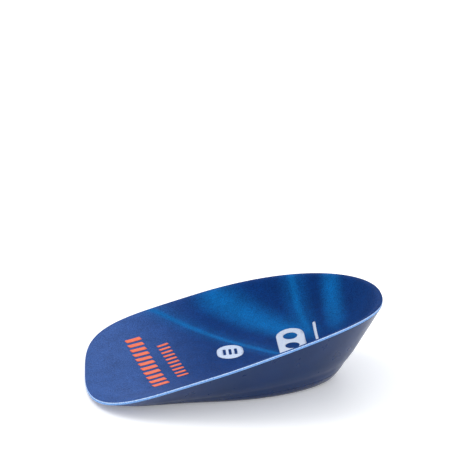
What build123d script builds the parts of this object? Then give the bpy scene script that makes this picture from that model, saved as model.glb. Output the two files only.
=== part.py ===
from build123d import *
import math
import os

# Cushioned heel insole: a gel cup with a cell-patterned gel pad underneath and a printed
# knit cover laid over its foam backing. Millimetres, +Z up, +X towards the thin front end,
# Y across. The origin is under the middle of the outline, on the floor plane.

# ---- overall sizes ---------------------------------------------------------------------
cup_length = 93.5
cup_width = 70.0
heel_rim_height = 26.7       # rim height at the heel end
third_rim_height = 21.0      # a third of the way to the front
two_third_rim_height = 11.4  # two thirds of the way
front_rim_height = 1.35      # thin front edge

# ---- plan outline: two rounded ends meeting at the widest station ------------------------
widest_part = 0.583          # widest station as a part of the length, from the heel end
heel_roundness = (1.72, 2.34)
front_roundness = (5.0, 2.94)
outline_stations = 30        # stations along one side

# ---- outer wall ---------------------------------------------------------------------------
heel_wall_inset = 15.8       # how far the flat underside sits inside the rim outline
side_wall_inset = 12.9
front_wall_inset = 6.2
trimmed_edge = 0.95          # height of the knife-cut edge all round the rim
lid_height = 60.0            # construction only: top of the uncut blank

# ---- cover layers ---------------------------------------------------------------------------
fabric_thickness = 0.28      # measured straight down, as are the film and the ink
foam_thickness = 0.40
film_thickness = 0.12
print_thickness = 0.06

# ---- dish the heel sits in ------------------------------------------------------------------
dish_depths = (8.9, 8.7, 6.6, 4.2, 2.7, 1.75, 1.3)   # floor heights at the stations below
dish_stations = (0.0, 27.0, 47.0, 66.0, 75.0, 85.0, 93.5)
dish_steepness_side = 3.3
dish_steepness_heel = 5.2
lip_width = 1.7              # rounded lip just inside the rim
lip_softness = 1.0

# ---- gel pad and its cells ------------------------------------------------------------------
pad_part = 0.15              # parting height as a part of the rim height
pad_front = 85.5             # the pad stops this far from the heel end
cell_pitch = 8.5
cell_diameter = 7.05
first_row = 21.7             # first row of cells, from the heel end
narrow_rows, wide_rows = 2, 6
narrow_count, wide_count = 3, 5
cell_depth = 2.0             # deepest cells, at the heel
cell_share = 0.62            # and never more than this share of the pad
channel_width = 0.9          # shallow channels join neighbouring cells both ways
channel_length = cell_pitch - cell_diameter + 0.5
rib_width = 1.25
rib_reach = (2.3, 1.9, 0.9)  # half span, tip offset, tail offset of each chevron rib
cut_below = 1.0              # cutters start this far under the floor plane
rib_step = 0.25              # ribs stop this far above the floor plane

# ---- printed marks on the cover ---------------------------------------------------------------
bold_row = (74.0, 11, 3.8, 2.1, 5.4)    # station, bars, spacing, bar width, bar length
light_row = (65.8, 10, 2.9, 1.2, 3.9)
row_tilt = 11.5              # the rows run slightly askew of straight across
bar_slant = 14.0
badge_place = (47.4, -0.8)
badge_size = (10.6, 8.4)     # across, along
plate_place = 27.6
plate_size = (24.0, 9.0)
thin_line = (19.5, 24.0, 0.9)

widest = widest_part * cup_length
half_width = cup_width / 2
middle = cup_length / 2


def through(stations, heights, s):
    """Height at station s on the smooth curve through the given heights."""
    total = 0.0
    for i, (si, hi) in enumerate(zip(stations, heights)):
        for j, sj in enumerate(stations):
            if j != i:
                hi *= (s - sj) / (si - sj)
        total += hi
    return total


def rim_height(s):
    s = min(max(s, -0.04 * cup_length), 1.04 * cup_length)
    thirds = [i * cup_length / 3 for i in range(4)]
    levels = (heel_rim_height, third_rim_height, two_third_rim_height, front_rim_height)
    return through(thirds, levels, s)


def floor_height(s):
    """Height of the dish floor on the centre line, eased between its stations."""
    st, hs = dish_stations, dish_depths
    s = min(max(s / cup_length * 93.5, st[0]), st[-1])
    i = max(k for k in range(len(st) - 1) if st[k] <= s)
    step = st[i + 1] - st[i]
    t = (s - st[i]) / step

    def slope(k):
        a, b = max(k - 1, 0), min(k + 1, len(st) - 1)
        return (hs[b] - hs[a]) / (st[b] - st[a])

    return (
        (2 * t**3 - 3 * t**2 + 1) * hs[i] + (t**3 - 2 * t**2 + t) * step * slope(i)
        + (3 * t**2 - 2 * t**3) * hs[i + 1] + (t**3 - t**2) * step * slope(i + 1)
    )


def outline_point(turn):
    """Plan point (station, y) on one side of the rim; turn runs 0 at the heel to pi."""
    along, across = math.cos(turn) ** 2, math.sin(turn) ** 2
    if turn <= math.pi / 2:
        a, b = heel_roundness
        return widest * (1 - along ** (1 / a)), half_width * across ** (1 / b)
    a, b = front_roundness
    return widest + (cup_length - widest) * along ** (1 / a), half_width * across ** (1 / b)


def rim_stations():
    """Evenly spaced rim points (station, y, outward normal), right round the outline."""
    fine = [outline_point(math.pi * k / 3000) for k in range(3001)]
    reach = [0.0]
    for p, q in zip(fine, fine[1:]):
        reach.append(reach[-1] + math.dist(p, q))
    side, k = [], 0
    for i in range(outline_stations + 1):
        want = reach[-1] * i / outline_stations
        while k < len(fine) - 2 and reach[k + 1] < want:
            k += 1
        t = (want - reach[k]) / (reach[k + 1] - reach[k])
        side.append([fine[k][j] + t * (fine[k + 1][j] - fine[k][j]) for j in (0, 1)])
    ring = side + [[s, -y] for s, y in reversed(side[1:-1])]
    out = []
    for i, (s, y) in enumerate(ring):
        (s0, y0), (s1, y1) = ring[i - 1], ring[(i + 1) % len(ring)]
        long = math.hypot(s1 - s0, y1 - y0)
        out.append((s, y, -(y1 - y0) / long, (s1 - s0) / long))
    return out


rim = rim_stations()


def wall_inset(s):
    t = min(max(s / cup_length, 0.0), 1.0)
    near = math.sin(math.pi * t)
    end = heel_wall_inset if t < 0.5 else front_wall_inset
    return end + (side_wall_inset - end) * near


def closed_ring(points):
    """Closed spline; every ring shares the same spacing so that lofts stay light."""
    spacing = [i / len(points) for i in range(len(points) + 1)]
    return Wire([Edge.make_spline(points, periodic=True, parameters=spacing)])


def wall_ring(inset_part, height_part):
    """One ring of the outer wall, given as parts of the inset and of the wall height."""
    points = []
    for s, y, nx, ny in rim:
        d = wall_inset(s) * inset_part
        z = (rim_height(s) - trimmed_edge) * height_part
        points.append(Vector(s - nx * d - middle, y - ny * d, z))
    return closed_ring(points)


# from the flat underside, round the pad's bulging edge and its ledge, up to the rim
wall_profile = [
    (1.0, 0.0), (0.93, 0.013), (0.85, 0.061), (0.775, 0.130), (0.715, 0.194), (0.655, 0.258),
    (0.585, 0.322), (0.50, 0.409), (0.40, 0.525), (0.30, 0.643), (0.20, 0.760), (0.10, 0.880),
    (0.0, 1.0),
]


def dish_point(station, part):
    """Point of the finished top surface; part runs 0 at the rim to 1 in the middle."""
    s, y = station[0], station[1]
    ds = s - widest
    far = math.hypot(ds, y)
    inward = half_width * part * (1 - part) + part * part * far
    left = 1 - inward / far
    x = widest + ds * left
    low, high = floor_height(x), rim_height(x)
    rise = max(high - low, 0.02)
    heelward = max(-ds / far, 0.0) ** 2
    power = dish_steepness_side + (dish_steepness_heel - dish_steepness_side) * heelward
    over = max(left * (1 + lip_width / far), 0.0)
    bowl = rise * over**power
    soft = lip_softness * rise / (rise + 2)
    height = (bowl + rise - math.sqrt((bowl - rise) ** 2 + soft * soft)) / 2
    height -= (rise - math.sqrt(rise * rise + soft * soft)) / 2 * (1 - left**2)
    return Vector(x - middle, y * left, low + height)


ring_parts = (0.0, 0.02, 0.038, 0.056, 0.076, 0.10, 0.14, 0.20, 0.29, 0.41, 0.55, 0.70, 0.84, 0.95)


def dish_normal(i, part):
    """Upward unit normal of the finished top surface."""
    a = dish_point(rim[i], max(part - 0.004, 0.0))
    b = dish_point(rim[i], part + 0.004)
    c = dish_point(rim[i - 1], part)
    d = dish_point(rim[(i + 1) % len(rim)], part)
    n = (b - a).cross(d - c).normalized()
    return n if n.Z > 0 else -n


def dish_rings(below):
    """Rings of the dish lowered so that the layer above them has the given thickness."""
    rings = []
    for part in ring_parts:
        points = []
        for i, station in enumerate(rim):
            drop = below / dish_normal(i, part).Z if below else 0.0
            points.append(dish_point(station, part) - Vector(0, 0, drop))
        rings.append(closed_ring(points))
    return rings


def lifted(rings, height):
    """The same rings moved straight up or down."""
    return [ring.translate((0, 0, height)) for ring in rings]


def layer_solid(upper, lower, base):
    """Solid between two stacks of rings, closed by an upright band along the cut rim.

    base is the point below the middle for a dish, or None for the flat-bottomed wall.
    """
    top = Shell.make_loft(upper + [Vertex(widest - middle, 0, base[0])])
    if base[1] is None:
        bottom = list(Shell.make_loft(lower).faces()) + [Face(lower[-1])]
    else:
        bottom = Shell.make_loft(lower + [Vertex(widest - middle, 0, base[1])]).faces()
    band = Shell.make_loft([upper[0], lower[0]], ruled=True)
    return Solid(Shell(list(top.faces()) + list(band.faces()) + list(bottom)))


film_depth = fabric_thickness + foam_thickness
gel_depth = film_depth + film_thickness
centre = floor_height(widest)
top_rings = dish_rings(0)
fabric_rings = lifted(top_rings, -fabric_thickness)
foam_rings = dish_rings(film_depth)
film_rings = lifted(foam_rings, -film_thickness)
wall_rings = [wall_ring(*step) for step in reversed(wall_profile)]
fabric_blank = layer_solid(top_rings, fabric_rings, (centre, centre - fabric_thickness))
foam_blank = layer_solid(fabric_rings, foam_rings, (centre - fabric_thickness, centre - film_depth))
film_blank = layer_solid(foam_rings, film_rings, (centre - film_depth, centre - gel_depth))
gel_blank = layer_solid(film_rings, wall_rings, (centre - gel_depth, None))


def row_places(row):
    """Plan centres of the cells in one row, counted from the heel."""
    count = narrow_count if row < narrow_rows else wide_count
    x = first_row + row * cell_pitch - middle
    return [(x, (i - (count - 1) / 2) * cell_pitch) for i in range(count)]


def cell_depth_at(row):
    """Cells grow shallower towards the front, where the pad thins out."""
    s = first_row + row * cell_pitch
    return min(cell_depth, cell_share * pad_part * rim_height(s))


def chevron(at):
    """Arrow-shaped rib outline with its point towards +Y."""
    span, tip, tail = rib_reach
    w = rib_width / math.sqrt(2)
    x, y = at
    return Polygon(
        (x - span, y - tail), (x - span + w, y - tail - w), (x, y + tip - 2 * w),
        (x + span - w, y - tail - w), (x + span, y - tail), (x, y + tip), align=None,
    )


rows = range(narrow_rows + wide_rows)

# region the pad takes out of the moulding: everything below the parting surface
with BuildPart() as parting:
    with BuildSketch(Plane.XZ):
        with BuildLine():
            steps = [i * pad_front / 12 for i in range(13)]
            curve = Spline([(s - middle, pad_part * rim_height(s)) for s in steps])
            Polyline(curve @ 0, (-middle - 9, curve.start_point().Y), (-middle - 9, -3),
                     (pad_front - middle, -3), curve @ 1)
        make_face()
    extrude(amount=cup_width, both=True)

with BuildPart() as gel_cup:
    add(gel_blank)
    add(parting.part, mode=Mode.SUBTRACT)

with BuildPart() as heel_pad:
    add(gel_blank)
    add(parting.part, mode=Mode.INTERSECT)
    for row in rows:
        places, depth = row_places(row), cell_depth_at(row)
        with BuildSketch(Plane.XY.offset(-cut_below)):
            with Locations(*places):
                Circle(cell_diameter / 2)
        extrude(amount=depth + cut_below, mode=Mode.SUBTRACT)
        with BuildSketch(Plane.XY.offset(rib_step * depth / cell_depth)):
            for place in places:
                chevron(place)
        extrude(amount=depth * (1 - rib_step / cell_depth), mode=Mode.ADD)
        with BuildSketch(Plane.XY.offset(-cut_below)):
            with Locations(*[(x, y + cell_pitch / 2) for x, y in places[:-1]]):
                Rectangle(channel_width, channel_length)
            if row > 0:
                links = min(places, row_places(row - 1), key=len)
                with Locations(*[(places[0][0] - cell_pitch / 2, y) for _, y in links]):
                    Rectangle(channel_length, channel_width)
        extrude(amount=depth / 2 + cut_below, mode=Mode.SUBTRACT)

with BuildPart() as adhesive_film:
    add(film_blank)

with BuildPart() as cover_foam:
    add(foam_blank)

with BuildPart() as cover_fabric:
    add(fabric_blank)


def bar_row(station, bars, spacing, wide, long):
    """A row of slanted bars standing on one thin strip, printed across the cover."""
    run = spacing * (bars - 1)
    with BuildSketch() as row_shape:
        with Locations(Location((station - middle, 0.5, 0), (0, 0, row_tilt))):
            for i in range(bars):
                with Locations(Location((0, (i - (bars - 1) / 2) * spacing, 0), (0, 0, bar_slant))):
                    Rectangle(long, wide)
            with Locations((-long / 2 + 0.4, 0)):
                Rectangle(0.8, run + wide)
    return row_shape.sketch


def printed(shape):
    """A thin film of ink of the given plan shape, lying on the dished cover."""
    with BuildPart() as mark:
        add(ink_blank)
        extrude(shape, amount=lid_height, mode=Mode.INTERSECT)
    return mark


ink_rings = lifted(top_rings, print_thickness)
ink_blank = layer_solid(ink_rings, top_rings, (centre + print_thickness, centre))

with BuildSketch() as badge_shape:
    with Locations((badge_place[0] - middle, badge_place[1])):
        SlotOverall(badge_size[0], badge_size[1], rotation=90)
        with Locations((1.8, 0), (0, 0), (-1.8, 0)):
            SlotOverall(4.6, 0.9, rotation=90, mode=Mode.SUBTRACT)

with BuildSketch() as plate_shape:
    with Locations((plate_place - middle, 0)):
        SlotOverall(plate_size[0], plate_size[1], rotation=90)
        with Locations((0, -7.2), (0, 0), (0, 7.2)):
            Circle(2.3, mode=Mode.SUBTRACT)

with BuildSketch() as line_shape:
    with Locations((thin_line[0] - middle, 0)):
        SlotOverall(thin_line[1], thin_line[2], rotation=90)

print_bold_bars = printed(bar_row(*bold_row))
print_light_bars = printed(bar_row(*light_row))
print_badge = printed(badge_shape.sketch)
print_plate = printed(plate_shape.sketch)
print_line = printed(line_shape.sketch)

pieces = {
    "gel_cup": gel_cup,
    "heel_pad": heel_pad,
    "adhesive_film": adhesive_film,
    "cover_foam": cover_foam,
    "cover_fabric": cover_fabric,
    "print_bold_bars": print_bold_bars,
    "print_light_bars": print_light_bars,
    "print_badge": print_badge,
    "print_plate": print_plate,
    "print_line": print_line,
}
os.makedirs("parts", exist_ok=True)
for name, piece in pieces.items():
    piece.part.label = name
    export_step(piece.part, f"parts/{name}.step")
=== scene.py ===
# %% [markdown]
# # A cushioned heel insole
# A heel cup is cast in soft clear gel, and a knit cover with a thin foam backing is glued
# into its dish. After moulding the whole rim is trimmed with a knife, so the layers show as
# a fine pale line all the way round. The cup is built here the way it is made: gel first,
# then the layers of the cover, then the printed marks. Sizes inside the functions are in
# millimetres, and each mesh is scaled to metres when it is made.

# %% load the frame
import math

import bmesh
import bpy
from mathutils import Matrix, Vector


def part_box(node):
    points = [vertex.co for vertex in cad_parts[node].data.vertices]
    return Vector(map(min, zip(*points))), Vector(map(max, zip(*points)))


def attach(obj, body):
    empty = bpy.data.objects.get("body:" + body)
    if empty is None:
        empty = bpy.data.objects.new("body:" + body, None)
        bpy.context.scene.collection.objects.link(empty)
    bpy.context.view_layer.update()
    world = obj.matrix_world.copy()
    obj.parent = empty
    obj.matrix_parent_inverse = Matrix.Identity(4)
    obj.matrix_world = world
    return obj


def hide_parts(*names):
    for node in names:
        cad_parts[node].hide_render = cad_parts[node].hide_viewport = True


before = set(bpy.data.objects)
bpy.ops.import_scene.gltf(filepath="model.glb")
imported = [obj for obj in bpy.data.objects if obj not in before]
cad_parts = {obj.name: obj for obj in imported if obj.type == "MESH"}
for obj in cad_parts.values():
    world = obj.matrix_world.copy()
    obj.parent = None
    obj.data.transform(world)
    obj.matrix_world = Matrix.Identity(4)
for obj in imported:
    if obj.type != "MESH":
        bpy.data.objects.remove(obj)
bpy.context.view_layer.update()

# %% [markdown]
# ## Driving sizes
# The outline is given by the sizes below; the span of the imported cover is printed beside them. The
# rim is highest round the heel and falls in a smooth sweep to a thin front edge, because the cup has to
# feather out under the arch.

# %% sizes
MM = 0.001
fabric_low, fabric_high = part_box("cover_fabric")
cup_length = 93.5
cup_width = 70.0
middle = cup_length / 2
half_width = cup_width / 2
widest = 0.583 * cup_length
rim_levels = (26.7, 21.0, 11.4, 1.35)
heel_roundness, front_roundness = (1.72, 2.34), (5.0, 2.94)
wall_insets = (15.8, 12.9, 6.2)
trimmed_edge = 0.95
fabric_thickness, foam_thickness, film_thickness = 0.28, 0.40, 0.12
dish_stations = (0.0, 27.0, 47.0, 66.0, 75.0, 85.0, 93.5)
dish_floors = (8.9, 8.7, 6.6, 4.2, 2.7, 1.75, 1.3)
side_steepness, heel_steepness = 3.3, 5.2
lip_width, lip_softness = 1.7, 1.0
film_depth = fabric_thickness + foam_thickness
gel_depth = film_depth + film_thickness
around = 240
print("fabric spans", [round((b - a) / MM, 1) for a, b in zip(fabric_low, fabric_high)], "mm")

# %% [markdown]
# ## The outline and the rim
# Both ends of the outline are rounded, the front end squarer than the heel. Rim height
# depends only on how far along the cup a point is, so the side view is one clean curve.

# %% outline and rim


def rim_height(s):
    """Rim height at a distance s from the heel end, on a cubic through four levels."""
    t = min(max(s / cup_length, -0.04), 1.04) * 3
    total = 0.0
    for i, level in enumerate(rim_levels):
        for j in range(4):
            if j != i:
                level *= (t - j) / (i - j)
        total += level
    return total


def outline_point(turn):
    """Plan point (distance from the heel, y) on one side; turn runs 0 at the heel to pi."""
    along, across = math.cos(turn) ** 2, math.sin(turn) ** 2
    if turn <= math.pi / 2:
        a, b = heel_roundness
        return widest * (1 - along ** (1 / a)), half_width * across ** (1 / b)
    a, b = front_roundness
    return widest + (cup_length - widest) * along ** (1 / a), half_width * across ** (1 / b)


def rim_stations(count):
    """Evenly spaced rim points (s, y, outward normal), right round the outline."""
    fine = [outline_point(math.pi * k / 4000) for k in range(4001)]
    reach = [0.0]
    for p, q in zip(fine, fine[1:]):
        reach.append(reach[-1] + math.dist(p, q))
    side, k = [], 0
    for i in range(count // 2 + 1):
        want = reach[-1] * i / (count // 2)
        while k < len(fine) - 2 and reach[k + 1] < want:
            k += 1
        t = (want - reach[k]) / (reach[k + 1] - reach[k])
        side.append([fine[k][j] + t * (fine[k + 1][j] - fine[k][j]) for j in (0, 1)])
    ring = side + [[s, -y] for s, y in reversed(side[1:-1])]
    out = []
    for i, (s, y) in enumerate(ring):
        (s0, y0), (s1, y1) = ring[i - 1], ring[(i + 1) % len(ring)]
        long = math.hypot(s1 - s0, y1 - y0)
        out.append((s, y, -(y1 - y0) / long, (s1 - s0) / long))
    return out


rim = rim_stations(around)
print("rim points", len(rim), "height", rim_height(0), "to", rim_height(cup_length))

# %% [markdown]
# ## The dish
# The heel sits in a dish with a nearly flat floor. Its sides steepen towards the rim, most
# of all at the back of the heel, and turn over in a small soft lip before the cut edge.

# %% dish surface


def floor_height(s):
    """Floor of the dish on the centre line, eased between the listed stations."""
    st, hs = dish_stations, dish_floors
    s = min(max(s, st[0]), st[-1])
    i = max(k for k in range(len(st) - 1) if st[k] <= s)
    step = st[i + 1] - st[i]
    t = (s - st[i]) / step

    def slope(k):
        a, b = max(k - 1, 0), min(k + 1, len(st) - 1)
        return (hs[b] - hs[a]) / (st[b] - st[a])

    return (
        (2 * t**3 - 3 * t**2 + 1) * hs[i] + (t**3 - 2 * t**2 + t) * step * slope(i)
        + (3 * t**2 - 2 * t**3) * hs[i + 1] + (t**3 - t**2) * step * slope(i + 1)
    )


def dish_height(s, left, far, heelward):
    """Height of the finished cover; left runs 1 at the rim to 0 in the middle."""
    low, high = floor_height(s), rim_height(s)
    rise = max(high - low, 0.02)
    power = side_steepness + (heel_steepness - side_steepness) * heelward
    bowl = rise * max(left * (1 + lip_width / far), 0.0) ** power
    soft = lip_softness * rise / (rise + 2)
    height = (bowl + rise - math.sqrt((bowl - rise) ** 2 + soft * soft)) / 2
    height -= (rise - math.sqrt(rise * rise + soft * soft)) / 2 * (1 - left**2)
    return low + height


def dish_point(station, part):
    """Point of the finished cover; part runs 0 at the rim to 1 in the middle."""
    s, y = station[0], station[1]
    ds = s - widest
    far = math.hypot(ds, y)
    inward = half_width * part * (1 - part) + part * part * far
    left = 1 - inward / far
    at = widest + ds * left
    heelward = max(-ds / far, 0.0) ** 2
    return Vector((at - middle, y * left, dish_height(at, left, far, heelward)))


def cover_height(x, y):
    """Height of the finished cover above any plan point of the dish."""
    ds = x + middle - widest
    reach = max(math.hypot(ds, y), 1e-6)
    turn = math.atan2(y, ds)
    best = min(rim, key=lambda p: abs(math.remainder(math.atan2(p[1], p[0] - widest) - turn, math.tau)))
    far = math.hypot(best[0] - widest, best[1])
    return dish_height(x + middle, min(reach / far, 1.0), far, max(-ds / reach, 0.0) ** 2)


def dish_normal(i, part):
    a = dish_point(rim[i], max(part - 0.003, 0.0))
    b = dish_point(rim[i], part + 0.003)
    c = dish_point(rim[i - 1], part)
    d = dish_point(rim[(i + 1) % len(rim)], part)
    n = (b - a).cross(d - c).normalized()
    return n if n.z > 0 else -n


def dish_ring(part, below):
    """One ring of the dish, lowered so that the layers above it have the given thickness.

    Knit and film are measured straight down; the foam between them fills the rest.
    """
    ring = []
    for i, station in enumerate(rim):
        drop = below
        if below > fabric_thickness:
            drop = film_depth / dish_normal(i, part).z + below - film_depth
        ring.append(dish_point(station, part) - Vector((0, 0, drop)))
    return ring


# rings crowd together at the rim, where the lip turns over, and spread towards the middle
first_gap, gap_growth, gap_easing, last_ring = 0.006, 0.09, 0.7, 0.965
ring_parts = [0.0]
while ring_parts[-1] < last_ring:
    part = ring_parts[-1]
    ring_parts.append(part + first_gap + gap_growth * part * (1 - gap_easing * part))
print("dish rings", len(ring_parts))

# %% [markdown]
# ## The outer wall
# From the flat underside the gel turns up round the edge of the pad, passes a shallow ledge,
# and sweeps out to the rim. The profile is given as parts of the inset and of the height,
# so the same curve fits the high heel and the low front.

# %% outer wall
wall_profile = (
    (1.0, 0.0), (0.93, 0.013), (0.85, 0.061), (0.775, 0.130), (0.715, 0.194), (0.655, 0.258),
    (0.585, 0.322), (0.50, 0.409), (0.40, 0.525), (0.30, 0.643), (0.20, 0.760), (0.10, 0.880),
    (0.0, 1.0),
)
parting_step = 3.2            # profile step where the pad and the cup meet


def wall_inset(s):
    t = min(max(s / cup_length, 0.0), 1.0)
    heel, side, front = wall_insets
    end = heel if t < 0.5 else front
    return end + (side - end) * math.sin(math.pi * t)


def profile_at(step):
    """Point on the wall profile, eased through its steps."""
    i = min(int(step), len(wall_profile) - 2)
    t = step - i
    p = [wall_profile[min(max(i + k, 0), len(wall_profile) - 1)] for k in (-1, 0, 1, 2)]
    return [
        0.5 * (2 * p[1][j] + (p[2][j] - p[0][j]) * t
               + (2 * p[0][j] - 5 * p[1][j] + 4 * p[2][j] - p[3][j]) * t * t
               + (3 * p[1][j] - p[0][j] - 3 * p[2][j] + p[3][j]) * t**3)
        for j in (0, 1)
    ]


def wall_ring(step):
    inset_part, height_part = profile_at(step)
    ring = []
    for s, y, nx, ny in rim:
        d = wall_inset(s) * inset_part
        z = (rim_height(s) - trimmed_edge) * height_part
        ring.append(Vector((s - nx * d - middle, y - ny * d, z)))
    return ring


# %% [markdown]
# ## Turning rings into pieces
# Every piece of the cup is a stack of closed rings: down one face, across the cut rim and
# back along the other face. One builder serves the gel and all the layers of the cover.

# %% ring builder
sharp_angle = 50              # degrees
edge_steps = (0.33, 0.67)     # extra rings across a cut edge


def ring_mesh(name, rings, top_z, bottom_z, edge_rows=()):
    """Closed mesh from stacked rings, with a middle point at each end."""
    verts = [p * MM for ring in rings for p in ring]
    count = len(rim)
    faces, tags = [], []
    for r in range(len(rings) - 1):
        for i in range(count):
            j = (i + 1) % count
            faces.append((r * count + i, r * count + j, (r + 1) * count + j, (r + 1) * count + i))
            tags.append(1 if r in edge_rows else 0)
    for ring_start, z, flip in ((0, top_z, True), ((len(rings) - 1) * count, bottom_z, False)):
        hub = len(verts)
        verts.append(Vector(((widest - middle), 0, z)) * MM)
        for i in range(count):
            j = (i + 1) % count
            a, b = (j, i) if flip else (i, j)
            faces.append((ring_start + a, ring_start + b, hub))
            tags.append(0)
    mesh = bpy.data.meshes.new(name)
    mesh.from_pydata(verts, [], faces)
    mesh.polygons.foreach_set("material_index", tags)
    mesh.polygons.foreach_set("use_smooth", [True] * len(faces))
    tidy = bmesh.new()
    tidy.from_mesh(mesh)
    bmesh.ops.recalc_face_normals(tidy, faces=tidy.faces)
    tidy.to_mesh(mesh)
    tidy.free()
    piece = bpy.data.objects.new(name, mesh)
    bpy.context.scene.collection.objects.link(piece)
    mark_sharp(piece)
    return piece


def mark_sharp(piece):
    """Edges that turn sharply stay crisp under smooth shading."""
    mesh = piece.data
    sharp = bmesh.new()
    sharp.from_mesh(mesh)
    for edge in sharp.edges:
        if len(edge.link_faces) == 2 and edge.calc_face_angle(0) > math.radians(sharp_angle):
            edge.smooth = False
    sharp.to_mesh(mesh)
    sharp.free()


def cover_layer(name, upper, lower):
    """A layer of the cover between two depths under the finished surface."""
    top = [dish_ring(part, upper) for part in reversed(ring_parts)]
    bottom = [dish_ring(part, lower) for part in ring_parts]
    edge = [[a.lerp(b, t) for a, b in zip(top[-1], bottom[0])] for t in edge_steps]
    hub = floor_height(widest)
    rows = range(len(top) - 1, len(top) + 2)
    return ring_mesh(name, top + edge + bottom, hub - upper, hub - lower, rows)


def belongs(piece, node):
    """Ties a piece to the frame: attaches it to its body and hides the CAD node it stands for."""
    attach(piece, "root")
    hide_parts(node)


# %% [markdown]
# ## Finishes
# Small shader helpers keep each recipe short. Coordinates are taken from the object itself
# and turned into millimetres, so grain sizes below can be read as real sizes.

# %% shader helpers


class Recipe:
    """A material under construction, with one principled shader."""

    def __init__(self, name, colour, roughness):
        self.material = bpy.data.materials.new(name)
        self.material.use_nodes = True
        self.tree = self.material.node_tree
        self.shader = self.tree.nodes["Principled BSDF"]
        self.shader.inputs["Base Color"].default_value = (*colour, 1)
        self.shader.inputs["Roughness"].default_value = roughness
        where = self.node("ShaderNodeTexCoord")
        scale = self.node("ShaderNodeVectorMath", operation="SCALE")
        scale.inputs["Scale"].default_value = 1 / MM
        self.link(where.outputs["Object"], scale.inputs[0])
        self.place = scale.outputs[0]

    def node(self, kind, **settings):
        made = self.tree.nodes.new(kind)
        for key, value in settings.items():
            setattr(made, key, value)
        return made

    def link(self, a, b):
        self.tree.links.new(a, b)

    def feed(self, socket, source):
        self.link(source, self.shader.inputs[socket])

    def noise(self, size, detail=3.0):
        """Soft noise whose blobs measure about size millimetres."""
        moved = self.node("ShaderNodeVectorMath", operation="MULTIPLY")
        moved.inputs[1].default_value = [1 / size] * 3
        self.link(self.place, moved.inputs[0])
        made = self.node("ShaderNodeTexNoise")
        made.inputs["Scale"].default_value = 1.0
        made.inputs["Detail"].default_value = detail
        self.link(moved.outputs[0], made.inputs["Vector"])
        return made.outputs["Fac"]

    def spread(self, value, low, high, out_low=0.0, out_high=1.0, smooth=False):
        """Maps a range of one value onto another, clamped at both ends."""
        made = self.node("ShaderNodeMapRange")
        if smooth:
            made.interpolation_type = "SMOOTHSTEP"
        ends = {"From Min": low, "From Max": high, "To Min": out_low, "To Max": out_high}
        for key, number in ends.items():
            made.inputs[key].default_value = number
        self.link(value, made.inputs["Value"])
        return made.outputs["Result"]

    def mix(self, factor, a, b):
        """Colour mix; a and b are colours or sockets."""
        made = self.node("ShaderNodeMix", data_type="RGBA")
        self.link(factor, made.inputs["Factor"])
        for socket, value in ((made.inputs[6], a), (made.inputs[7], b)):
            if isinstance(value, tuple):
                socket.default_value = (*value, 1)
            else:
                self.link(value, socket)
        return made.outputs[2]

    def maths(self, operation, a, b):
        made = self.node("ShaderNodeMath", operation=operation)
        for socket, value in zip(made.inputs, (a, b)):
            if isinstance(value, (int, float)):
                socket.default_value = value
            else:
                self.link(value, socket)
        return made.outputs[0]

    def bump(self, height, depth, strength):
        """Relief of a real depth in millimetres."""
        made = self.node("ShaderNodeBump")
        made.inputs["Strength"].default_value = strength
        made.inputs["Distance"].default_value = depth * MM
        self.link(height, made.inputs["Height"])
        self.feed("Normal", made.outputs["Normal"])


# %% [markdown]
# The knit and its printed marks share one relief: fine wales running along the cup crossed by courses.
# It sits in a node group so that the cover and its printed marks carry the same weave.

# %% knit relief group
course_pitch, wale_pitch = 0.62, 0.5


def knit_group():
    """Node group: object place in millimetres to knit height, 0 to 1."""
    group = bpy.data.node_groups.new("knit relief", "ShaderNodeTree")
    group.interface.new_socket("Place", in_out="INPUT", socket_type="NodeSocketVector")
    group.interface.new_socket("Height", in_out="OUTPUT", socket_type="NodeSocketFloat")
    nodes, links = group.nodes, group.links
    start, end = nodes.new("NodeGroupInput"), nodes.new("NodeGroupOutput")
    parts = nodes.new("ShaderNodeSeparateXYZ")
    links.new(start.outputs["Place"], parts.inputs[0])
    waves = []
    for axis, pitch in (("X", course_pitch), ("Y", wale_pitch)):
        turn = nodes.new("ShaderNodeMath")
        turn.operation = "MULTIPLY"
        turn.inputs[1].default_value = math.tau / pitch
        links.new(parts.outputs[axis], turn.inputs[0])
        wave = nodes.new("ShaderNodeMath")
        wave.operation = "SINE"
        links.new(turn.outputs[0], wave.inputs[0])
        waves.append(wave.outputs[0])
    cross = nodes.new("ShaderNodeMath")
    cross.operation = "MULTIPLY"
    links.new(waves[0], cross.inputs[0])
    links.new(waves[1], cross.inputs[1])
    lift = nodes.new("ShaderNodeMath")
    lift.operation = "MULTIPLY_ADD"
    lift.inputs[1].default_value = 0.5
    lift.inputs[2].default_value = 0.5
    links.new(cross.outputs[0], lift.inputs[0])
    links.new(lift.outputs[0], end.inputs["Height"])
    return group


knit = knit_group()


def knit_height(recipe):
    use = recipe.node("ShaderNodeGroup", node_tree=knit)
    recipe.link(recipe.place, use.inputs["Place"])
    return use.outputs["Height"]


# %% [markdown]
# ## Gel
# Polyurethane gel is poured deep navy and keeps a soft gloss from the mould. Where it thins to the
# front edge, light gets through and the blue brightens, so the colour follows the distance
# along the cup. Soft clouds and faint flow marks break up the gloss.

# %% gel finishes
thinning_from = 18.0          # the gel starts to brighten this far in front of the middle


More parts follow.
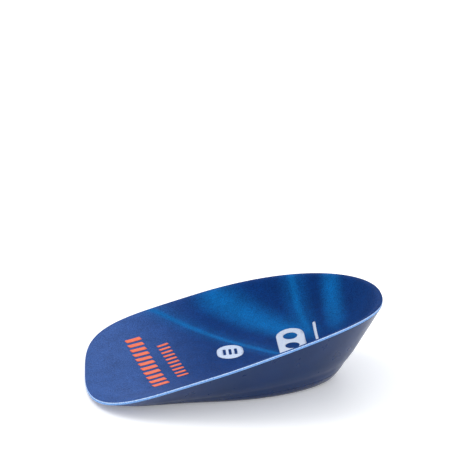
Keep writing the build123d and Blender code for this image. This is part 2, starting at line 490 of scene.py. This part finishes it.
def gel_finish(name, deep, bright, roughness):
    recipe = Recipe(name, deep, roughness)
    parts = recipe.node("ShaderNodeSeparateXYZ")
    recipe.link(recipe.place, parts.inputs[0])
    front = recipe.spread(parts.outputs["X"], thinning_from, middle, 0.0, 0.75, smooth=True)
    clouds = recipe.spread(recipe.noise(14.0, 1.0), 0.3, 0.7, 0.0, 0.12)
    thin = recipe.maths("ADD", front, clouds)
    recipe.feed("Base Color", recipe.mix(thin, deep, bright))
    gloss = recipe.spread(recipe.noise(4.0, 4.0), 0.3, 0.7, roughness - 0.04, roughness + 0.06)
    recipe.feed("Roughness", gloss)
    recipe.bump(recipe.noise(3.5, 1.0), 0.010, 0.4)
    shader = recipe.shader.inputs
    shader["Specular IOR Level"].default_value = 0.16
    shader["Coat Weight"].default_value = 0.08
    shader["Coat Roughness"].default_value = 0.12
    shader["IOR"].default_value = 1.47
    shader["Subsurface Weight"].default_value = 0.25
    shader["Subsurface Radius"].default_value = (0.2, 0.5, 1.0)
    shader["Subsurface Scale"].default_value = 2 * MM
    return recipe.material


cup_gel = gel_finish("navy cup gel", (0.001, 0.019, 0.082), (0.001, 0.045, 0.24), 0.30)
pad_gel = gel_finish("deep blue pad gel", (0.001, 0.015, 0.075), (0.001, 0.030, 0.15), 0.2)

# %% [markdown]
# ## The gel cup
# The cup is one pour: the dish under the cover on top, the swept wall outside. Its underside
# stops at the parting with the pad, which is poured first in a slightly softer gel.

# %% gel cup
wall_gap = 0.2                # profile steps between two rings of the wall
parting_part = 0.15           # parting height as a part of the rim height
rim_step = len(wall_profile) - 1
wall_count = int((rim_step - parting_step) / wall_gap) + 1
wall_steps = [rim_step - wall_gap * k for k in range(wall_count)]
gel_top = [dish_ring(part, gel_depth) for part in reversed(ring_parts)]
gel_wall = [wall_ring(step) for step in wall_steps]
hub = floor_height(widest)
cup = ring_mesh("cup_of_gel", gel_top + gel_wall, hub - gel_depth,
                parting_part * rim_height(widest))
cup.data.materials.append(cup_gel)
belongs(cup, "gel_cup")
print("cup faces", len(cup.data.polygons))

# %% [markdown]
# ## The pad and its cells
# Rows of round cells with an arrow rib inside each let the pad squash under the heel. The
# moulded edges are never sharp: the pad is remeshed finely and relaxed, which rounds every
# edge by a fraction of a millimetre as gel does when it leaves the mould.

# %% heel pad
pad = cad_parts["heel_pad"].copy()
pad.data = pad.data.copy()
pad.name = pad.data.name = "cell_pad"
bpy.context.scene.collection.objects.link(pad)


def soften(piece, voxel, rounds):
    """Fine remesh, then a light relaxing, applied to the mesh."""
    remesh = piece.modifiers.new("fine", "REMESH")
    remesh.mode, remesh.voxel_size, remesh.use_smooth_shade = "VOXEL", voxel * MM, True
    relax = piece.modifiers.new("relax", "SMOOTH")
    relax.factor, relax.iterations = 0.5, rounds
    graph = bpy.context.evaluated_depsgraph_get()
    done = bpy.data.meshes.new_from_object(piece.evaluated_get(graph))
    piece.modifiers.clear()
    piece.data = done
    for polygon in done.polygons:
        polygon.use_smooth = True


pad_voxel = 0.27
soften(pad, pad_voxel, 2)
pad.data.materials.clear()
pad.data.materials.append(pad_gel)
belongs(pad, "heel_pad")
print("pad faces", len(pad.data.polygons))

# %% [markdown]
# ## Film, foam and knit
# A hot-melt film bonds pale foam to the gel, and the foam backs the knit. Only their cut
# edges show, as the light line round the rim: pale foam below, cut yarn ends above.

# %% cover finishes
streak_start, streak_end = (-6.0, 5.0), (-6.0, 10.0)   # fades about the two ends of a streak


def light_streak(recipe, start, end, width, strength):
    """A soft streak of light in the print, from start to end in millimetres."""
    long = math.dist(start, end)
    ax, ay = (end[0] - start[0]) / long, (end[1] - start[1]) / long
    parts = recipe.node("ShaderNodeVectorMath", operation="SUBTRACT")
    parts.inputs[1].default_value = (start[0], start[1], 0)
    recipe.link(recipe.place, parts.inputs[0])
    aside = recipe.node("ShaderNodeVectorMath", operation="DOT_PRODUCT")
    aside.inputs[1].default_value = (-ay, ax, 0)
    recipe.link(parts.outputs[0], aside.inputs[0])
    along = recipe.node("ShaderNodeVectorMath", operation="DOT_PRODUCT")
    along.inputs[1].default_value = (ax, ay, 0)
    recipe.link(parts.outputs[0], along.inputs[0])
    off = recipe.maths("ABSOLUTE", aside.outputs["Value"], 0)
    body = recipe.spread(off, 0.0, width, strength, 0.0, smooth=True)
    along = along.outputs["Value"]
    start_low, start_high = streak_start
    end_low, end_high = streak_end
    fade_in = recipe.spread(along, start_low, start_high, smooth=True)
    fade_out = recipe.spread(along, long + end_low, long + end_high, 1.0, 0.0, smooth=True)
    return recipe.maths("MULTIPLY", body, recipe.maths("MULTIPLY", fade_in, fade_out))


# start, end, half width, strength: the streaks fan out from beside the heel
streaks = (
    ((28.0, -37.0), (-15.0, 6.0), 1.5, 0.85),
    ((28.0, -37.0), (-15.0, 6.0), 5.0, 0.3),
    ((7.0, -34.0), (-22.0, -8.0), 7.5, 0.95),
    ((-20.5, -31.0), (-25.0, -10.0), 1.8, 0.9),
    ((-20.5, -31.0), (-25.0, -10.0), 5.5, 0.45),
    ((-33.0, -24.0), (-34.0, -8.0), 4.5, 0.9),
    ((-27.0, 10.0), (-10.0, 33.0), 6.0, 0.35),
)


def printed_knit():
    """Brushed polyester knit dyed blue, with painted shade making the heel a little darker and a
    painted sheen making the front paler and violet.
    """
    recipe = Recipe("printed blue knit", (0.03, 0.09, 0.4), 0.62)
    parts = recipe.node("ShaderNodeSeparateXYZ")
    recipe.link(recipe.place, parts.inputs[0])
    # painted shade: a little darker towards the heel; painted sheen: paler and violet towards the front
    colour = recipe.mix(recipe.spread(parts.outputs["X"], -46.0, -12.0, smooth=True),
                        (0.0012, 0.030, 0.142), (0.001, 0.030, 0.150))
    colour = recipe.mix(recipe.spread(parts.outputs["X"], 4.0, 38.0, smooth=True),
                        colour, (0.032, 0.083, 0.268))
    for streak in streaks:
        colour = recipe.mix(light_streak(recipe, *streak), colour, (0.001, 0.115, 0.36))
    grain = recipe.spread(recipe.noise(0.34, 2.0), 0.35, 0.65, 0.72, 1.3)
    haze = recipe.spread(recipe.noise(5.0, 4.0), 0.3, 0.7, 0.88, 1.12)
    shade = recipe.maths("MULTIPLY", grain, haze)
    tone = recipe.node("ShaderNodeVectorMath", operation="SCALE")
    recipe.link(colour, tone.inputs[0])
    recipe.link(shade, tone.inputs["Scale"])
    recipe.feed("Base Color", tone.outputs[0])
    recipe.feed("Roughness", recipe.spread(recipe.noise(0.5, 2.0), 0.3, 0.7, 0.52, 0.72))
    weave = recipe.maths("MULTIPLY", knit_height(recipe), 0.6)
    recipe.bump(recipe.maths("ADD", weave, recipe.noise(0.3, 3.0)), 0.05, 0.6)
    recipe.shader.inputs["Specular IOR Level"].default_value = 0.05
    recipe.shader.inputs["Sheen Weight"].default_value = 0.02
    recipe.shader.inputs["Sheen Roughness"].default_value = 0.4
    recipe.shader.inputs["Sheen Tint"].default_value = (0.55, 0.65, 1.0, 1)
    return recipe.material


def cut_edge(name, colour, shadow, grain):
    """A knife-cut edge: pale, slightly ragged, with shadow between its fibres."""
    recipe = Recipe(name, colour, 0.7)
    fibres = recipe.spread(recipe.noise(grain, 3.0), 0.35, 0.6)
    recipe.feed("Base Color", recipe.mix(fibres, shadow, colour))
    recipe.feed("Roughness", recipe.spread(recipe.noise(0.4, 2.0), 0.3, 0.7, 0.6, 0.85))
    recipe.bump(recipe.noise(grain, 3.0), 0.06, 0.7)
    return recipe.material


def film_finish():
    recipe = Recipe("hot-melt film", (0.22, 0.42, 0.75), 0.3)
    recipe.feed("Base Color", recipe.mix(recipe.noise(1.2, 3.0), (0.12, 0.32, 0.7), (0.3, 0.5, 0.85)))
    recipe.feed("Roughness", recipe.spread(recipe.noise(1.5, 3.0), 0.3, 0.7, 0.25, 0.45))
    return recipe.material


cover_knit = printed_knit()
yarn_ends = cut_edge("cut yarn ends", (0.62, 0.78, 0.98), (0.25, 0.42, 0.8), 0.35)
foam_edge = cut_edge("pale cut foam", (0.20, 0.42, 0.80), (0.05, 0.18, 0.52), 0.28)

# %% cover layers
film = cover_layer("bonding_film", film_depth, gel_depth)
foam = cover_layer("foam_backing", fabric_thickness, film_depth)
fabric = cover_layer("knit_cover", 0.0, fabric_thickness)
for piece, node, finish, slot in (
    (film, "adhesive_film", (film_finish(), film_finish()), "film"),
    (foam, "cover_foam", (foam_edge, foam_edge), "foam"),
    (fabric, "cover_fabric", (cover_knit, yarn_ends), "knit"),
):
    for material in finish:
        piece.data.materials.append(material)
    belongs(piece, node)
print("cover layers", [len(p.data.polygons) for p in (film, foam, fabric)])

# %% [markdown]
# ## Printed marks
# The marks are heat transfers: a thin film of ink pressed into the knit. Each is drawn flat,
# sliced finely and laid down on the dish, so that it follows the curve of the cover.

# %% mark builder
ink_lift = 0.05               # ink stands this far above the knit
ink_thickness = 0.04
print_slice = 1.2


def ring_of(centre, across, along, turn=0.0, corner=None, steps=7):
    """Rounded rectangle as a list of plan points; turn is in degrees."""
    corner = min(across, along) / 2 if corner is None else corner
    points = []
    for quarter, (sx, sy) in enumerate(((1, 1), (-1, 1), (-1, -1), (1, -1))):
        for k in range(steps + 1):
            a = math.pi / 2 * (quarter + k / steps)
            points.append((sx * (along / 2 - corner) + corner * math.cos(a),
                           sy * (across / 2 - corner) + corner * math.sin(a)))
    c, s = math.cos(math.radians(turn)), math.sin(math.radians(turn))
    return [(centre[0] + x * c - y * s, centre[1] + x * s + y * c) for x, y in points]


def printed_mark(name, outlines, node, material):
    """Flat outlines, holes included, laid on the cover as a thin film of ink."""
    curve = bpy.data.curves.new(name, "CURVE")
    curve.dimensions, curve.fill_mode = "2D", "BOTH"
    for outline in outlines:
        spline = curve.splines.new("POLY")
        spline.points.add(len(outline) - 1)
        for point, (x, y) in zip(spline.points, outline):
            point.co = (x, y, 0, 1)
        spline.use_cyclic_u = True
    flat = bpy.data.objects.new(name + " outline", curve)
    bpy.context.scene.collection.objects.link(flat)
    bpy.context.view_layer.update()
    mesh = bpy.data.meshes.new_from_object(flat.evaluated_get(bpy.context.evaluated_depsgraph_get()))
    bpy.data.objects.remove(flat)
    shape = bmesh.new()
    shape.from_mesh(mesh)
    bmesh.ops.remove_doubles(shape, verts=shape.verts, dist=1e-4)
    for axis in (0, 1):
        values = [v.co[axis] for v in shape.verts]
        cuts = int((max(values) - min(values)) / print_slice)
        for k in range(1, cuts + 1):
            at, way = Vector((0, 0, 0)), Vector((0, 0, 0))
            at[axis], way[axis] = min(values) + k * print_slice, 1
            geometry = shape.verts[:] + shape.edges[:] + shape.faces[:]
            bmesh.ops.bisect_plane(shape, geom=geometry, plane_co=at, plane_no=way)
    bmesh.ops.recalc_face_normals(shape, faces=shape.faces)
    for face in shape.faces:
        if face.normal.z < 0:
            face.normal_flip()
    for v in shape.verts:
        v.co.z = cover_height(v.co.x, v.co.y) + ink_lift
        v.co *= MM
    shape.to_mesh(mesh)
    shape.free()
    mesh.name = name
    mesh.materials.clear()
    mesh.materials.append(material)
    for polygon in mesh.polygons:
        polygon.use_smooth, polygon.material_index = True, 0
    piece = bpy.data.objects.new(name, mesh)
    bpy.context.scene.collection.objects.link(piece)
    thick = piece.modifiers.new("ink film", "SOLIDIFY")
    thick.thickness, thick.offset = ink_thickness * MM, 1.0
    belongs(piece, node)
    return piece


def ink(name, colour, worn, roughness):
    """Transfer ink: the knit shows through as fine relief and tiny worn specks."""
    recipe = Recipe(name, colour, roughness)
    wear = recipe.spread(recipe.noise(0.45, 3.0), 0.6, 0.75)
    recipe.feed("Base Color", recipe.mix(wear, colour, worn))
    gloss = recipe.spread(recipe.noise(0.8, 3.0), 0.3, 0.7, roughness - 0.06, roughness + 0.08)
    recipe.feed("Roughness", gloss)
    recipe.bump(knit_height(recipe), 0.03, 0.5)
    return recipe.material


orange_ink = ink("orange ink", (0.80, 0.115, 0.03), (0.42, 0.08, 0.09), 0.55)
grey_ink = ink("grey ink", (0.50, 0.58, 0.74), (0.25, 0.33, 0.6), 0.5)
silver_ink = ink("silver ink", (0.52, 0.58, 0.70), (0.3, 0.37, 0.58), 0.42)

# %% [markdown]
# Two rows of slanted orange bars run across the front, a bold one and a light one. A badge
# marks the middle, and a silvery plate with a thin line behind it lies under the heel.

# %% printed marks
row_tilt, bar_slant = 11.5, 14.0   # degrees
row_aside = 0.5
bold_row = (74.0, 11, 3.8, 2.1, 5.4)    # distance from the heel, bars, spacing, width, length
light_row = (65.8, 10, 2.9, 1.2, 3.9)
badge_place, badge_size = (47.4, -0.8), (10.6, 8.4)
badge_bar, badge_bar_gap = (4.6, 0.9), 1.8
plate_place, plate_size = 27.6, (24.0, 9.0)
plate_hole, plate_hole_gap = 4.6, 7.2
line_place, line_size = 19.5, (24.0, 0.9)


def bar_row(station, bars, spacing, wide, long):
    """Plan outlines of a row of slanted bars."""
    tilt = math.radians(row_tilt)
    outlines = []
    for i in range(bars):
        across = (i - (bars - 1) / 2) * spacing
        centre = (station - middle - across * math.sin(tilt), row_aside + across * math.cos(tilt))
        outlines.append(ring_of(centre, wide, long, row_tilt + bar_slant, 0.3, 3))
    return outlines


printed_mark("bold_bars", bar_row(*bold_row), "print_bold_bars", orange_ink)
printed_mark("light_bars", bar_row(*light_row), "print_light_bars", orange_ink)
badge_x, badge_y = badge_place[0] - middle, badge_place[1]
badge = [ring_of((badge_x, badge_y), *badge_size)]
badge += [ring_of((badge_x + k * badge_bar_gap, badge_y), *badge_bar) for k in (1, 0, -1)]
printed_mark("badge", badge, "print_badge", grey_ink)
plate_x = plate_place - middle
plate = [ring_of((plate_x, 0), *plate_size)]
plate += [ring_of((plate_x, k * plate_hole_gap), plate_hole, plate_hole) for k in (-1, 0, 1)]
printed_mark("heel_plate_mark", plate, "print_plate", silver_ink)
line = [ring_of((line_place - middle, 0), *line_size)]
printed_mark("thin_line", line, "print_line", silver_ink)

# %% [markdown]
# ## Studio
# A seamless pale floor and large soft lights. The main light stands at the front, high up,
# so that the shadow falls under the heel, and a broad low light fills the near wall.

# %% floor and lights


def floor_finish():
    """Pale floor that glows faintly, so that shadows stay light."""
    recipe = Recipe("pale floor", (0.9, 0.9, 0.91), 0.55)
    patches = recipe.mix(recipe.noise(60.0, 2.0), (0.93, 0.93, 0.94), (0.95, 0.95, 0.95))
    recipe.feed("Base Color", patches)
    recipe.shader.inputs["Emission Color"].default_value = (1, 1, 1, 1)
    recipe.shader.inputs["Emission Strength"].default_value = 0.22
    return recipe.material


floor_size, floor_gap = 6.0, 0.0001   # metres, as is the rest of the studio
bpy.ops.mesh.primitive_plane_add(size=floor_size, location=(0, 0, -floor_gap))
floor = bpy.context.object
floor.name = "floor"
floor.data.materials.append(floor_finish())


def soft_light(name, place, size, power, colour=(1, 1, 1)):
    """A square soft box aimed at the cup; power in watts."""
    lamp = bpy.data.lights.new(name, "AREA")
    lamp.size, lamp.energy, lamp.color = size, power, colour
    holder = bpy.data.objects.new(name, lamp)
    holder.location = place
    holder.rotation_euler = (Vector((0, 0, 0.01)) - Vector(place)).to_track_quat("-Z", "Y").to_euler()
    bpy.context.scene.collection.objects.link(holder)


soft_light("key", (0.5, -0.25, 0.9), 0.5, 2.6)
soft_light("back", (-0.1, -0.9, 0.55), 0.7, 1.2, (0.93, 0.96, 1.0))
soft_light("fill", (-0.5, 0.8, 0.5), 0.9, 0.8)
world = bpy.data.worlds.new("studio air")
world.use_nodes = True
world.node_tree.nodes["Background"].inputs["Color"].default_value = (0.95, 0.97, 1.0, 1)
world.node_tree.nodes["Background"].inputs["Strength"].default_value = 1.0
bpy.context.scene.world = world
bpy.context.scene.view_settings.view_transform = "Standard"

# %% [markdown]
# ## Camera
# A long lens from the side, looking a little down, so that both the dish and the near wall
# of the cup can be seen.

# %% camera
camera_place = (0.0450, 0.5128, 0.2245)
camera_turn, camera_tilt, camera_roll = -184.67, 71.19, 1.53
focal_length, sensor_width = 139.65, 36.0
lens = bpy.data.cameras.new("camera")
lens.lens, lens.sensor_width, lens.clip_start = focal_length, sensor_width, 0.01
camera = bpy.data.objects.new("camera", lens)
camera.matrix_world = (
    Matrix.Translation(camera_place)
    @ Matrix.Rotation(math.radians(camera_turn), 4, "Z")
    @ Matrix.Rotation(math.radians(camera_tilt), 4, "X")
    @ Matrix.Rotation(math.radians(camera_roll), 4, "Z")
)
bpy.context.scene.collection.objects.link(camera)
bpy.context.scene.camera = camera
